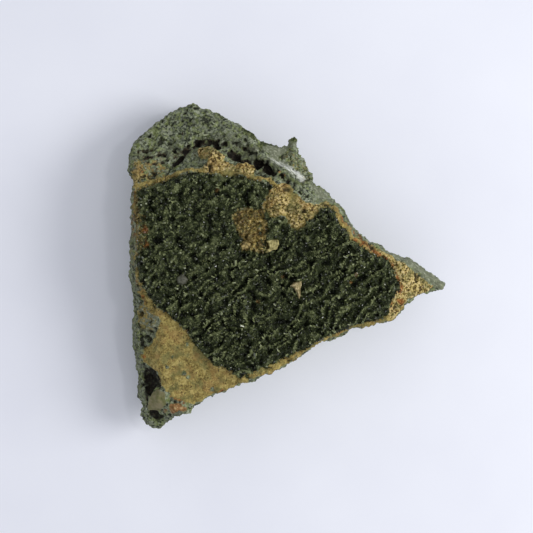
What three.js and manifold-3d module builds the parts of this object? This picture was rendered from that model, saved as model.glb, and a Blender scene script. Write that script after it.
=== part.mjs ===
// A hand-sized specimen of epidote. A broken wedge of grey-green rock, ochre where iron has stained it,
// carries on its upper face a druse: a crust of small dark green epidote crystals grown together.
// Millimetres, +Z up. The specimen lies on its broken back with the druse facing up. The origin is the
// middle of its footprint, on the surface it lies on: +X is to the right and +Y away from the viewer.
import * as THREE from "three";
import Module from "manifold-3d";
import { mergeVertices } from "three/addons/utils/BufferGeometryUtils.js";

const wasm = await Module();
wasm.setup();

// Driving dimensions.
const PLATEAU = 21.5; // height of the rock face under the druse
const CRUST = 1.5; // thickness of the crust that the crystals stand on
const SEAM = 0.3; // clearance between the rock and the crust
const STEP = 2.5; // size of a facet on the rock's upper face
const RIM_STEP = 2.7; // size of a facet along the outline
const CRYSTAL_SPACING = 2.1; // least distance between the crystals' middles
const [BELOW, ABOVE] = [-5, 40]; // heights clear of the rock, for the solids that are cut to make it
const HUB = new THREE.Vector2(-12, 0); // the outline and the sides are drawn around this point

// The outline seen from above, clockwise from the peak at the back.
const OUTLINE = [
  [-24.4, 42.8], [-22.6, 41.5], [-19.2, 40.4], [-15.3, 38.4], [-12.2, 37.1], [-9.1, 34.5], [-6.5, 32.4],
  [-3.1, 31.6], [0, 31.2], [2.6, 30.8], [3.6, 29.3], [4.9, 26.7], [6.5, 24.6], [7, 21.7], [9.9, 19.9],
  [12, 17.3], [15.1, 14.4], [15.9, 12.4], [18.2, 9.5], [20, 7.4], [24.2, 5.1], [27.6, 3], [32, 2],
  [34.1, 0.7], [37.2, -1.7], [41.6, -5.1], [40.8, -5.9], [37.2, -6.4], [34.1, -7.2], [32, -9],
  [29.9, -10.5], [29.4, -12.4], [28.3, -13.7], [25.5, -14.4], [21.6, -15.5], [16.9, -16.3], [14.6, -17.6],
  [9.1, -19.6], [6, -21.7], [2.9, -23.8], [-0.5, -25.9], [-4.4, -27.7], [-8.3, -29.3], [-12.2, -30.3],
  [-16.1, -32.4], [-21.1, -34.2], [-23.7, -36.3], [-25.7, -38.4], [-27.8, -37.8], [-30.4, -39.9],
  [-33, -42.3], [-35.6, -42.8], [-36.9, -41.7], [-38, -39.1], [-38.2, -36], [-39, -32.1], [-39, -28.2],
  [-40, -23.8], [-40.6, -19.1], [-40.6, -14.4], [-40, -9.5], [-41.1, -5.3], [-41.1, 1.2], [-40.8, 6.9],
  [-40.6, 17.3], [-40.8, 19.1], [-39.8, 20.7], [-39.8, 23], [-41.3, 24.6], [-41.6, 26.7], [-40.6, 28.2],
  [-40.8, 30.3], [-40, 32.4], [-37.4, 35], [-33.5, 38.6], [-29.9, 40.7],
];

// The edge of the druse, clockwise from its back left corner.
const DRUSE = [
  [-39.2, 19.6], [-35.9, 21.2], [-33.5, 22], [-30.4, 22.8], [-26.3, 24.3], [-23.4, 24.8], [-19.5, 24.3],
  [-15.3, 23.3], [-12.2, 23.8], [-9.1, 22.8], [-4.4, 22], [-3.4, 20.7], [-4.9, 18.1], [-6.2, 15.7],
  [-4.2, 13.1], [-0.3, 13.1], [0.8, 10], [3.1, 9.2], [5.7, 12.4], [8.1, 14.7], [10.4, 15.5], [12.2, 14.7],
  [13.3, 11.8], [15.3, 9.8], [16.4, 6.9], [19.3, 5.6], [22.1, 3.5], [26.3, 1.6], [27.6, -1.7],
  [29.1, -5.3], [26.8, -8.5], [26, -12.1], [21.6, -13.9], [16.6, -15.2], [14, -16.5], [8.6, -18.5],
  [6.2, -20.1], [2.3, -21.5], [-1, -23.5], [-5.2, -25.6], [-7.8, -26.4], [-10.4, -28.2], [-12.2, -28.5],
  [-15.6, -26.1], [-18.5, -25.4], [-22.6, -21.2], [-26.5, -16.3], [-30.9, -12.4], [-33.5, -10.8],
  [-35.6, -8.2], [-36.7, -5.9], [-38, -3.3], [-39.2, 1.2], [-39.3, 5.1], [-39.3, 9.5], [-39.3, 14.7],
];

// Broken faces around the plateau, painted in this order. Each is a sloping plane inside its outline:
// at is a point on it, with its height, and fall is how much it drops for each mm along x and y.
const FACES = [
  { // the granular block at the back, which falls away to the back left
    edge: [
      [-44, 20.3], [-39, 20.6], [-30, 23.8], [-24, 25.8], [-15, 24.4], [-4, 23], [0, 24], [8, 34], [-24, 48],
      [-46, 34],
    ],
    at: [-20, 25, 19.8], fall: [0.14, -0.38], soft: 0.9,
  },
  { // the lower shelf of that block, on this side of the crack across it
    edge: [
      [-31.7, 23.6], [-26, 29.2], [-21.3, 32.6], [-15, 32], [-8, 27.5], [-4, 23.4], [-15, 24.6], [-24, 25.9],
    ],
    at: [-18, 26, 18.3], fall: [0.05, -0.22], soft: 0.7,
  },
  { // the smooth slanting flank at the back right
    edge: [
      [-12, 33], [-4, 27.2], [0, 24.6], [4, 19.8], [8, 17.3], [12.5, 16.2], [15, 12.6], [17, 8.6], [21, 5.5],
      [28, 2.2], [33, 0.5], [40, -4], [46, -5], [20, 24], [0, 40],
    ],
    at: [4, 20.5, 20.5], fall: [-0.62, -0.74], soft: 0.8,
  },
  { // the spur on the right, which thins to its tip
    edge: [
      [27.8, 3], [28.8, -1.7], [30.2, -5.3], [28, -8.6], [27.2, -12.6], [28, -18], [46, -10], [46, 2],
      [33, 0],
    ],
    at: [29, -5.5, 20.6], fall: [-0.45, 0.06], soft: 0.9,
  },
  { // the ochre parting face at the front left
    edge: [
      [-32.5, -15.2], [-31, -13.2], [-22.8, -22.2], [-18.6, -26.4], [-15.4, -27.2], [-12.6, -29.5],
      [-12.5, -34], [-24, -40], [-31.4, -35.6], [-33.6, -31.4], [-35.2, -26.2], [-33, -20.5],
    ],
    at: [-22, -26, 20.4], fall: [0.12, 0.16], soft: 0.7,
  },
  { // the ragged left shoulder, between the ochre face and the left side
    edge: [
      [-37.2, -6.4], [-34, -11.4], [-33, -15], [-33.4, -20.5], [-35.6, -26], [-34, -31.4], [-31.6, -36.2],
      [-36, -46], [-46, -40], [-46, -8],
    ],
    at: [-36.5, -20, 16.8], fall: [0.35, 0.1], soft: 0.8,
  },
  { // the blunt toe at the front left corner
    edge: [[-31, -37.4], [-36.6, -34.6], [-44, -36], [-38, -48], [-28, -46]],
    at: [-34.5, -38.5, 13.2], fall: [0.1, 0.75], soft: 0.7,
  },
];

// Lumps and hollows: centre, half sizes along its own axes, turn in degrees, and rise, which is negative
// for a hollow.
const LUMPS = [
  { at: [-17.8, 28], size: [3.4, 1.9], turn: -20, rise: 2.6 }, // ochre fragment behind the crust's edge
  { at: [-10.5, 25.6], size: [3.6, 1.2], turn: -35, rise: 1.9 },
  { at: [-35.5, 22.6], size: [2.6, 1.6], turn: 22, rise: -2.6 }, // gap under the crust's back edge
  { at: [-28.4, 26.2], size: [3.4, 1.4], turn: 25, rise: -1.2 },
  { at: [-23.4, 28.4], size: [2.2, 1.6], turn: 30, rise: -1.5 },
  { at: [-20.8, 30.6], size: [2, 1.6], turn: 40, rise: -1.2 },
  { at: [-10.6, 29.6], size: [2.8, 1.9], turn: -30, rise: -1.6 },
  { at: [-4.4, 24.8], size: [3.8, 1.9], turn: -38, rise: -2.8 }, // dark hollow at the druse's back right
  { at: [-30.5, 32.5], size: [3.4, 2.2], turn: 55, rise: -1.2 },
  { at: [-36, 30.6], size: [2.4, 1.2], turn: 60, rise: -1.8 },
  { at: [-37.8, 25.2], size: [2.6, 3.4], turn: 0, rise: 1.6 }, // ochre lump at the back left edge
  { at: [-25, 36.5], size: [5, 3.4], turn: 20, rise: 1.5 },
  { at: [-14.5, 33.6], size: [5, 2], turn: -38, rise: 1.3 },
  { at: [1.2, 27.6], size: [5.2, 1.5], turn: -52, rise: 1.7 }, // rough ledge on the flank
  { at: [3.8, 17.8], size: [4.4, 0.8], turn: -43, rise: 1.1 }, // raised lip of the ochre patch
  { at: [-1.8, 16.8], size: [2.6, 2.6], turn: 0, rise: 1.5 }, // ochre patch at the back right of the druse
  { at: [3.8, 12.8], size: [3.4, 2], turn: 40, rise: 1.2 },
  { at: [30.6, -4.2], size: [3, 2.4], turn: 60, rise: 0.9 },
  { at: [30.4, 0.9], size: [3.4, 1], turn: -20, rise: 0.7 },
  { at: [27.8, -11.6], size: [1.9, 1.7], turn: 0, rise: 0.8 },
  { at: [-35.2, -14.6], size: [1.9, 2.4], turn: 15, rise: 1.9 }, // pale crumbly lump on the left shoulder
  { at: [-36.2, -8.2], size: [1.6, 2], turn: 20, rise: -1.2 },
  { at: [-36.4, -19.6], size: [1.7, 2.2], turn: 0, rise: -1.4 },
  { at: [-35.6, -28.6], size: [1.9, 3.6], turn: 22, rise: -3.6 }, // deep hollow beside the ochre face
  { at: [-33.4, -34.4], size: [2.3, 2.7], turn: -15, rise: 2.6 }, // pale pebble face near the toe
  { at: [-33.8, -38.4], size: [2.3, 1.5], turn: 10, rise: -1.3 },
  { at: [-29.2, -36.6], size: [2.4, 1.3], turn: -20, rise: 1.2 },
  { at: [-20.4, -31.6], size: [2, 1.3], turn: 30, rise: -0.7 },
  { at: [-27, -27], size: [3.6, 2.4], turn: 40, rise: 0.6 },
];

// Cracks across the faces, each a groove along its points.
const CRACKS = [
  { line: [[-31.7, 23.6], [-26, 29.2], [-21.3, 32.6], [-17.5, 35.2]], wide: 1.3, deep: 1.2 },
  { line: [[-29.8, -28.2], [-25, -29], [-20.6, -26.8]], wide: 1.1, deep: 0.5 },
  { line: [[3, 22.6], [8.6, 17.4]], wide: 1.2, deep: 1 },
];

// Flat breaks that undercut the sides. at is a point on each and wide is its width. In degrees, facing is
// the compass way it looks out, from +X towards +Y, dip is how far it looks down, and roll how its ends lean.
const BREAKS = [
  { at: [8.6, -20.4, 14], facing: -57, wide: 24, dip: 20, roll: -24 },
  { at: [-9, -30, 13], facing: -66, wide: 22, dip: 30, roll: 20 },
  { at: [21, -16.4, 12], facing: -80, wide: 22, dip: 34, roll: 26 },
  { at: [-20, -34.9, 9], facing: -56, wide: 18, dip: 40, roll: -18 },
  { at: [-41.2, -6, 7], facing: 182, wide: 22, dip: 36, roll: 25 },
  { at: [-39.4, -28, 6], facing: 188, wide: 20, dip: 44, roll: -22 },
  { at: [-41, 14, 10], facing: 178, wide: 24, dip: 22, roll: 15 },
  { at: [-37, 36.6, 8], facing: 132, wide: 18, dip: 40, roll: -20 },
  { at: [-16, 39, 8], facing: 62, wide: 22, dip: 38, roll: 22 },
  { at: [3.6, 28.6, 9], facing: 24, wide: 16, dip: 30, roll: -25 },
  { at: [14, 14.8, 11], facing: 49, wide: 26, dip: 26, roll: 16 },
  { at: [32, 1.2, 12], facing: 58, wide: 26, dip: 34, roll: 0 },
  { at: [33, -8.6, 12], facing: -66, wide: 26, dip: 40, roll: 0 },
];

// Noise with the same value at the same place on every run, from -1 to 1.
function lattice(i, j, k) {
  let h = (i * 374761393 + j * 668265263 + k * 1274126177) | 0;
  h = Math.imul(h ^ (h >>> 13), 1103515245);
  h ^= h >>> 16;
  return ((h >>> 0) / 4294967295) * 2 - 1;
}

const ease = (t) => t * t * (3 - 2 * t);
const mix = (a, b, t) => a + (b - a) * t;
const smoothstep = (low, high, v) => ease(THREE.MathUtils.clamp((v - low) / (high - low), 0, 1));

function noise(x, y, z) {
  const [i, j, k] = [Math.floor(x), Math.floor(y), Math.floor(z)];
  const [u, v, w] = [ease(x - i), ease(y - j), ease(z - k)];
  const row = (b, c) => mix(lattice(i, j + b, k + c), lattice(i + 1, j + b, k + c), u);
  return mix(mix(row(0, 0), row(1, 0), v), mix(row(0, 1), row(1, 1), v), w);
}

// Rough relief at three sizes; size is the widest bump, in mm.
function rough(x, y, z, size) {
  return noise(x / size, y / size, z / size)
    + 0.5 * noise((2 * x) / size + 9, (2 * y) / size, (2 * z) / size)
    + 0.25 * noise((4 * x) / size, (4 * y) / size + 5, (4 * z) / size);
}

// A seeded draw from 0 to 1.
let seed = 20260717;
function draw() {
  seed = (Math.imul(seed, 1664525) + 1013904223) >>> 0;
  return seed / 4294967296;
}

function distanceToLine(x, y, points, closed) {
  let least = Infinity;
  const last = closed ? points.length : points.length - 1;
  for (let i = 0; i < last; i++) {
    const [ax, ay] = points[i];
    const [bx, by] = points[(i + 1) % points.length];
    const [dx, dy] = [bx - ax, by - ay];
    const along = THREE.MathUtils.clamp(((x - ax) * dx + (y - ay) * dy) / (dx * dx + dy * dy), 0, 1);
    least = Math.min(least, Math.hypot(x - ax - along * dx, y - ay - along * dy));
  }
  return least;
}

function inside(x, y, points) {
  let odd = false;
  for (let i = 0, j = points.length - 1; i < points.length; j = i++) {
    const [ax, ay] = points[i];
    const [bx, by] = points[j];
    if (ay > y !== by > y && x < ((bx - ax) * (y - ay)) / (by - ay) + ax) odd = !odd;
  }
  return odd;
}

// Distance to a closed outline, positive inside it.
function depthInside(x, y, points) {
  return distanceToLine(x, y, points, true) * (inside(x, y, points) ? 1 : -1);
}

// The height of the rock's upper surface.
function rockTop(x, y) {
  let z = PLATEAU + 0.012 * x + 0.5 * noise(x / 14, y / 14, 3);
  let broken = 0;
  for (const { edge, at, fall, soft } of FACES) {
    const share = smoothstep(-soft, soft, depthInside(x, y, edge));
    z = mix(z, at[2] + fall[0] * (x - at[0]) + fall[1] * (y - at[1]), share);
    broken = Math.max(broken, share);
  }
  for (const { at, size, turn, rise } of LUMPS) {
    const angle = THREE.MathUtils.degToRad(turn);
    const [dx, dy] = [x - at[0], y - at[1]];
    const u = (dx * Math.cos(angle) + dy * Math.sin(angle)) / size[0];
    const v = (dy * Math.cos(angle) - dx * Math.sin(angle)) / size[1];
    z += rise * Math.exp(-1.2 * (u * u + v * v) ** 1.3);
  }
  for (const { line, wide, deep } of CRACKS) {
    z -= deep * Math.exp(-((distanceToLine(x, y, line, false) / wide) ** 2));
  }
  return z + mix(0.18, 0.55, broken) * rough(x, y, 7, 5.5);
}

const crustBottom = (x, y) => rockTop(x, y) + SEAM;

// The crust between its crystals swells and sinks in long wrinkles that run up to the right.
function crustTop(x, y) {
  const across = (x * 0.62 - y * 0.78) / 6 + 1.3 * noise(x / 8, y / 8, 21);
  return crustBottom(x, y) + CRUST + 0.35 * Math.sin(across * 2 * Math.PI) + 0.2 * rough(x, y, 33, 4);
}

// Points at even steps around a closed outline.
function resample(points, step) {
  const path = new THREE.Path(points.map(([x, y]) => new THREE.Vector2(x, y)));
  path.closePath();
  const count = Math.round(path.getLength() / step);
  return path.getSpacedPoints(count).slice(0, count).map((p) => [p.x, p.y]);
}

// Triangles [a, b, c], anticlockwise, that join the points so that no point lies in a triangle's circle.
function delaunay(points) {
  const far = 1000;
  const all = [...points, [-far, -far], [far, -far], [0, far]];
  const circled = (a, b, c) => {
    const [ax, ay] = all[a];
    const [bx, by] = [all[b][0] - ax, all[b][1] - ay];
    const [cx, cy] = [all[c][0] - ax, all[c][1] - ay];
    const d = 2 * (bx * cy - by * cx);
    const ux = (cy * (bx * bx + by * by) - by * (cx * cx + cy * cy)) / d;
    const uy = (bx * (cx * cx + cy * cy) - cx * (bx * bx + by * by)) / d;
    return { corners: [a, b, c], x: ax + ux, y: ay + uy, r2: ux * ux + uy * uy };
  };
  const n = points.length;
  let triangles = [circled(n, n + 1, n + 2)];
  points.forEach(([x, y], p) => {
    const open = new Map();
    triangles = triangles.filter((t) => {
      if ((x - t.x) ** 2 + (y - t.y) ** 2 >= t.r2) return true;
      t.corners.forEach((a, i) => {
        const b = t.corners[(i + 1) % 3];
        if (!open.delete(`${b},${a}`)) open.set(`${a},${b}`, [a, b]);
      });
      return false;
    });
    for (const [a, b] of open.values()) triangles.push(circled(a, b, p));
  });
  return triangles.map((t) => t.corners).filter((c) => c.every((i) => i < n));
}

function geometryOf(vertices, faces) {
  const geometry = new THREE.BufferGeometry();
  geometry.setAttribute("position", new THREE.Float32BufferAttribute(vertices.flat(), 3));
  geometry.setIndex(faces.flat());
  return geometry;
}

function solidOf(geometry) {
  const bare = geometry.clone();
  bare.deleteAttribute("normal");
  bare.deleteAttribute("uv");
  const merged = mergeVertices(bare, 1e-4);
  return new wasm.Manifold(new wasm.Mesh({
    numProp: 3,
    vertProperties: new Float32Array(merged.attributes.position.array),
    triVerts: new Uint32Array(merged.index.array),
  }));
}

function meshOf(solid, name, material) {
  const { vertProperties, triVerts } = solid.getMesh();
  const geometry = new THREE.BufferGeometry();
  geometry.setAttribute("position", new THREE.BufferAttribute(new Float32Array(vertProperties), 3));
  geometry.setIndex(new THREE.BufferAttribute(new Uint32Array(triVerts), 1));
  geometry.computeVertexNormals();
  const mesh = new THREE.Mesh(geometry, material);
  mesh.name = name;
  return mesh;
}

const outward = ([x, y], share) => [HUB.x + (x - HUB.x) * share, HUB.y + (y - HUB.y) * share];

// How far each point of an outline is from the hub, evened out over its neighbours.
function evenedReach(outline, spread) {
  const reach = outline.map(([x, y]) => Math.hypot(x - HUB.x, y - HUB.y));
  return reach.map((_, i) => {
    let sum = 0;
    for (let k = -spread; k <= spread; k++) sum += reach.at((i + k) % reach.length);
    return sum / (2 * spread + 1);
  });
}

// Rows of points up the side, from the foot to well above the upper face, which is cut off later.
// The lower rows lose the small turns of the outline, and chips break them up.
function sideRows(outline) {
  const evened = evenedReach(outline, 5);
  const rows = Array.from({ length: 8 }, () => []);
  outline.forEach((point, i) => {
    const [x, y] = point;
    const reach = Math.hypot(x - HUB.x, y - HUB.y);
    const west = smoothstep(-34, -38.5, x) * smoothstep(24, 8, y);
    const edge = outward(point, 1 - (mix(0.35, 2.3, west) + 0.2 * noise(x / 3, y / 3, 40)) / reach);
    const top = rockTop(...edge);
    const widest = top * (mix(0.72, 0.45, west) + 0.1 * noise(x / 6, y / 6, 60));
    const foot = Math.min(Math.min(evened[i], reach) - 4 - 1.8 * noise(x / 9, y / 9, 50), 36);
    const lower = (level, height) => {
      const z = widest * height;
      const flat = mix(foot, Math.min(evened[i], reach), Math.sqrt(level));
      const chip = 1.5 * rough(x, y, z + 30, 8) - 0.3;
      const share = Math.min((flat + chip) / reach, 1 - 0.3 / reach);
      return [...outward(point, share), z + 0.8 * noise(x / 5, y / 5, height * 9)];
    };
    rows[0].push([...outward(point, foot / reach), 0]);
    rows[1].push(lower(0.3, 0.2));
    rows[2].push(lower(0.55, 0.42));
    rows[3].push(lower(0.8, 0.72));
    rows[4].push([...point, widest]);
    const above = 0.5 + 0.5 * Math.abs(noise(x / 4, y / 4, 15));
    rows[5].push([...outward(point, 1 - above / reach), mix(widest, top, 0.5)]);
    rows[6].push([...edge, top + 0.6]);
    rows[7].push([...edge, ABOVE]);
  });
  return rows;
}

// The column of rock inside the sides, closed by the flat underside and a flat cap.
function columnGeometry(rows) {
  const count = rows[0].length;
  const faces = [];
  for (let level = 0; level + 1 < rows.length; level++) {
    for (let i = 0; i < count; i++) {
      const [a, b] = [level * count + i, level * count + ((i + 1) % count)];
      faces.push([b, a, a + count], [b, a + count, b + count]);
    }
  }
  const cap = (row, start, up) => {
    const ring = row.map(([x, y]) => new THREE.Vector2(x, y));
    for (const face of THREE.ShapeUtils.triangulateShape(ring, [])) {
      const anticlockwise = THREE.ShapeUtils.area(face.map((i) => ring[i])) > 0;
      faces.push((anticlockwise === up ? face : [...face].reverse()).map((i) => start + i));
    }
  };
  cap(rows[0], 0, false);
  cap(rows[rows.length - 1], (rows.length - 1) * count, true);
  return geometryOf(rows.flat(), faces);
}

// Points over the upper face: the edge of the druse, and a staggered grid on both sides of it.
function facePoints(druse) {
  const points = [...druse];
  let odd = false;
  for (let y = -47; y < 47; y += STEP * 0.87) {
    for (let x = -46 + (odd ? STEP / 2 : 0); x < 46; x += STEP) {
      const [px, py] = [x + 0.5 * (draw() - 0.5), y + 0.5 * (draw() - 0.5)];
      const near = depthInside(px, py, OUTLINE) > -2 * STEP;
      if (near && distanceToLine(px, py, druse, true) > STEP * 0.62) points.push([px, py]);
    }
    odd = !odd;
  }
  return points;
}

function middleOf(points, face) {
  return [0, 1].map((axis) => face.reduce((sum, i) => sum + points[i][axis], 0) / 3);
}

// A closed slab between two triangulated surfaces, each { points: [x, y, z], triangles }, whose outer
// edges run through the same first points.
function slabGeometry(low, high) {
  const vertices = [...low.points, ...high.points];
  const lift = low.points.length;
  const faces = [
    ...low.triangles.map(([a, b, c]) => [c, b, a]),
    ...high.triangles.map((face) => face.map((i) => i + lift)),
  ];
  const edges = new Map();
  for (const triangle of low.triangles) {
    triangle.forEach((from, i) => {
      const to = triangle[(i + 1) % 3];
      if (!edges.delete(`${to},${from}`)) edges.set(`${from},${to}`, [from, to]);
    });
  }
  for (const [from, to] of edges.values()) {
    faces.push([from, to, to + lift], [from, to + lift, from + lift]);
  }
  return geometryOf(vertices, faces);
}

// The same triangles with the points they use, at heights that are a function of x and y.
function surfaceOf(points, triangles, height) {
  const used = new Map([...new Set(triangles.flat())].sort((a, b) => a - b).map((i, k) => [i, k]));
  return {
    points: [...used.keys()].map((i) => [points[i][0], points[i][1], height(...points[i])]),
    triangles: triangles.map((face) => face.map((i) => used.get(i))),
  };
}

// Places inside an outline, no two nearer than the spacing, and none near the places to keep clear of.
function scatter(outline, margin, spacing, kept, clearance) {
  const found = [];
  const clear = (x, y, places, least) => places.every(([px, py]) => Math.hypot(px - x, py - y) >= least);
  const tries = 12000;
  for (let i = 0; i < tries; i++) {
    const [x, y] = [mix(-41, 31, draw()), mix(-30, 26, draw())];
    if (depthInside(x, y, outline) < margin) continue;
    if (clear(x, y, found, spacing) && clear(x, y, kept, clearance)) found.push([x, y]);
  }
  return found;
}

// The six corners of a crystal that stands out of the crust: four shoulders, and a roof ridge between.
function crystalCorners([x, y]) {
  const heading = draw() * Math.PI;
  const wide = mix(1.1, 1.6, draw());
  const thick = wide * mix(0.6, 0.8, draw());
  const rise = mix(0.9, 2.4, draw() ** 1.4);
  const [leanX, leanY] = [0.5 * (draw() - 0.5), 0.5 * (draw() - 0.5)];
  const floor = crustTop(x, y);
  const corner = (along, across, height) => [
    x + leanX * height + along * Math.cos(heading) - across * Math.sin(heading),
    y + leanY * height + along * Math.sin(heading) + across * Math.cos(heading),
    floor + rise * height,
  ];
  return [
    corner(wide / 2, thick * 0.2, 0.66), corner(wide * 0.12, thick / 2, 0.62),
    corner(-wide / 2, -thick * 0.2, 0.55), corner(-wide * 0.12, -thick / 2, 0.6),
    corner(wide * 0.2, 0, 1), corner(-wide * 0.28, 0, 0.9),
  ];
}

// The druse: its edge, its crystals, and the low places between them.
function drusePoints(edge) {
  const middles = scatter(DRUSE, 1.9, CRYSTAL_SPACING, [], 0);
  const lows = scatter(DRUSE, 1.5, 1.25, middles, 1.12);
  return [
    ...edge.map(([x, y]) => [x, y, crustTop(x, y) - 0.3]),
    ...middles.flatMap(crystalCorners),
    ...lows.map(([x, y]) => [x, y, crustTop(x, y) - 0.5]),
  ];
}

// An epidote crystal: a prism with a slanting four-sided section along +Z, closed by a roof of two faces.
function crystalGeometry(length, wide, thick) {
  const slanted = [[0.5, -0.18], [0.18, 0.5], [-0.5, 0.18], [-0.18, -0.5]];
  const section = slanted.map(([u, v]) => [u * wide, v * thick]);
  const shoulder = length - thick * 0.7;
  const vertices = [
    ...section.map(([x, y]) => [x, y, 0]),
    ...section.map(([x, y]) => [x, y, shoulder]),
    [wide * 0.2, 0, length],
    [-wide * 0.26, 0, length - thick * 0.25],
  ];
  const faces = [[0, 3, 2], [0, 2, 1]];
  for (let i = 0; i < 4; i++) {
    const j = (i + 1) % 4;
    faces.push([i, j, j + 4], [i, j + 4, i + 4]);
  }
  faces.push([4, 5, 8], [5, 9, 8], [5, 6, 9], [6, 7, 9], [7, 8, 9], [7, 4, 8]);
  return geometryOf(vertices, faces);
}

// Stands a geometry made along +Z at a place, leaning by tilt towards a compass angle.
function stand(geometry, place, tilt, compass, spin) {
  const lean = new THREE.Vector3(-Math.sin(compass), Math.cos(compass), 0);
  const turn = new THREE.Quaternion().setFromAxisAngle(lean, tilt)
    .multiply(new THREE.Quaternion().setFromAxisAngle(new THREE.Vector3(0, 0, 1), spin));
  return geometry.applyQuaternion(turn).translate(...place);
}

// The block of space beyond a flat break.
function beyond({ at, facing, wide, dip, roll }) {
  const far = 100;
  const [out, down, lean] = [facing, dip, roll].map(THREE.MathUtils.degToRad);
  const block = new THREE.BoxGeometry(far, wide, far).translate(far / 2, 0, 0);
  return solidOf(block.rotateX(lean).rotateY(down).rotateZ(out).translate(...at));
}

// A rounded grain, half sunk where it lies.
function grain(place, size) {
  const ball = new THREE.IcosahedronGeometry(1, 1);
  return ball.scale(...size).translate(...place);
}

const druseEdge = resample(DRUSE, STEP);
const facePlan = facePoints(druseEdge);
const faceTriangles = delaunay(facePlan);
const underCrust = faceTriangles.filter((face) => inside(...middleOf(facePlan, face), druseEdge));

const upperFace = slabGeometry(
  surfaceOf(facePlan, faceTriangles, () => BELOW),
  surfaceOf(facePlan, faceTriangles, rockTop),
);
// A stubby crystal stands out sideways from the back edge.
const bud = stand(crystalGeometry(6, 2.6, 2.4), [0.9, 28.6, 15.2], 1.12, 1.38, 0.4);
let rock = solidOf(columnGeometry(sideRows(resample(OUTLINE, RIM_STEP))));
for (const flat of BREAKS) rock = rock.subtract(beyond(flat));
rock = rock.intersect(solidOf(upperFace)).add(solidOf(bud));

const top = drusePoints(druseEdge);
const topTriangles = delaunay(top).filter((face) => inside(...middleOf(top, face), druseEdge));
const seat = surfaceOf(facePlan, underCrust, crustBottom);
let crust = solidOf(slabGeometry(seat, { points: top, triangles: topTriangles }));
const pebble = grain([-26.8, -3.3, crustTop(-26.8, -3.3) + 0.6], [1.35, 1.35, 1.1]);
const nub = grain([2.4, -6, crustTop(2.4, -6) + 0.7], [0.9, 2, 1.2]);
const cap = grain([-3.9, 4.8, crustTop(-3.9, 4.8) + 0.7], [1.7, 1.7, 1.1]);
for (const piece of [pebble, nub, cap]) crust = crust.add(solidOf(piece));

const rockMaterial = new THREE.MeshStandardMaterial({ color: 0x6f705a, roughness: 0.9, metalness: 0 });
const epidoteMaterial = new THREE.MeshStandardMaterial({ color: 0x2e3320, roughness: 0.35, metalness: 0 });

const specimen = new THREE.Group();
specimen.add(meshOf(rock, "rock_matrix", rockMaterial), meshOf(crust, "epidote_druse", epidoteMaterial));

export default specimen;
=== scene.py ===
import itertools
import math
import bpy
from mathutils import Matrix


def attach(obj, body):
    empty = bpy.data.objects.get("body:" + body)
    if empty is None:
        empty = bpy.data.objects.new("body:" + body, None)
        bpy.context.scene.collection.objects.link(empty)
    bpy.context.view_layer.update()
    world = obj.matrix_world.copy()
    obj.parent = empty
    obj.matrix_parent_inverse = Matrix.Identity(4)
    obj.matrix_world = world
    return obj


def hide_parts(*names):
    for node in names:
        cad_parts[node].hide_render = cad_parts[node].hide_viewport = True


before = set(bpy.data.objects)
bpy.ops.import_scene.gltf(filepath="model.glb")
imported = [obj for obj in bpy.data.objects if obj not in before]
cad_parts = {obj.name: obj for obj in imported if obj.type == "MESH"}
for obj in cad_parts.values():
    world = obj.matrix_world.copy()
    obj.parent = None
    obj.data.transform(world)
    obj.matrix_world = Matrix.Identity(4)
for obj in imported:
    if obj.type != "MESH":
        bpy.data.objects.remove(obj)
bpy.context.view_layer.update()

# The looks of a hand specimen of epidote: a broken wedge of grey-green rock, ochre where iron has
# stained it, with a crust of small dark green crystals over its upper face.
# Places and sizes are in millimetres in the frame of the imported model, and become metres in add_piece.

from types import SimpleNamespace

import bpy
import numpy as np
from mathutils import Matrix, Vector
from mathutils.bvhtree import BVHTree

MM = 0.001

# Sizes that drive the rest.
ROCK_GRAIN = 0.43  # spacing of the points on the rock
CRUST_GRAIN = 0.27  # spacing of the points on the crust
CRUST_THICK = 1.5  # about the middle height of the crust over the rock
EDGE_SUNK = 0.7  # how deep the crust's edge lies in the rock
CRUST_SUNK = 0.9  # how deep its underside does
CRYSTAL_SUNK = 0.3  # how far the crystals reach into the crust
RIDGE_RUN = 38  # where the ridges of the crust lead, in degrees from x
RIDGE_SPACING = 2.5
RIDGE_HIGH = 1.3
SMALL_RIDGE_HIGH = 0.5
LONG_SIDE = 0.76  # share of each ridge that its gentle side takes
SPUR_TIP = 1.0  # how far the broken tip of the spur reaches beyond the plain solid
EPIDOTE_IOR = 1.73
PHOTO_WIDE = 138.6  # what the photograph's width covers at the height of the specimen's outline
OUTLINE_HIGH = 14  # that height, over the floor
PHOTO_MIDDLE = (-5.3, 0)  # the place that the photograph has in its middle

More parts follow.
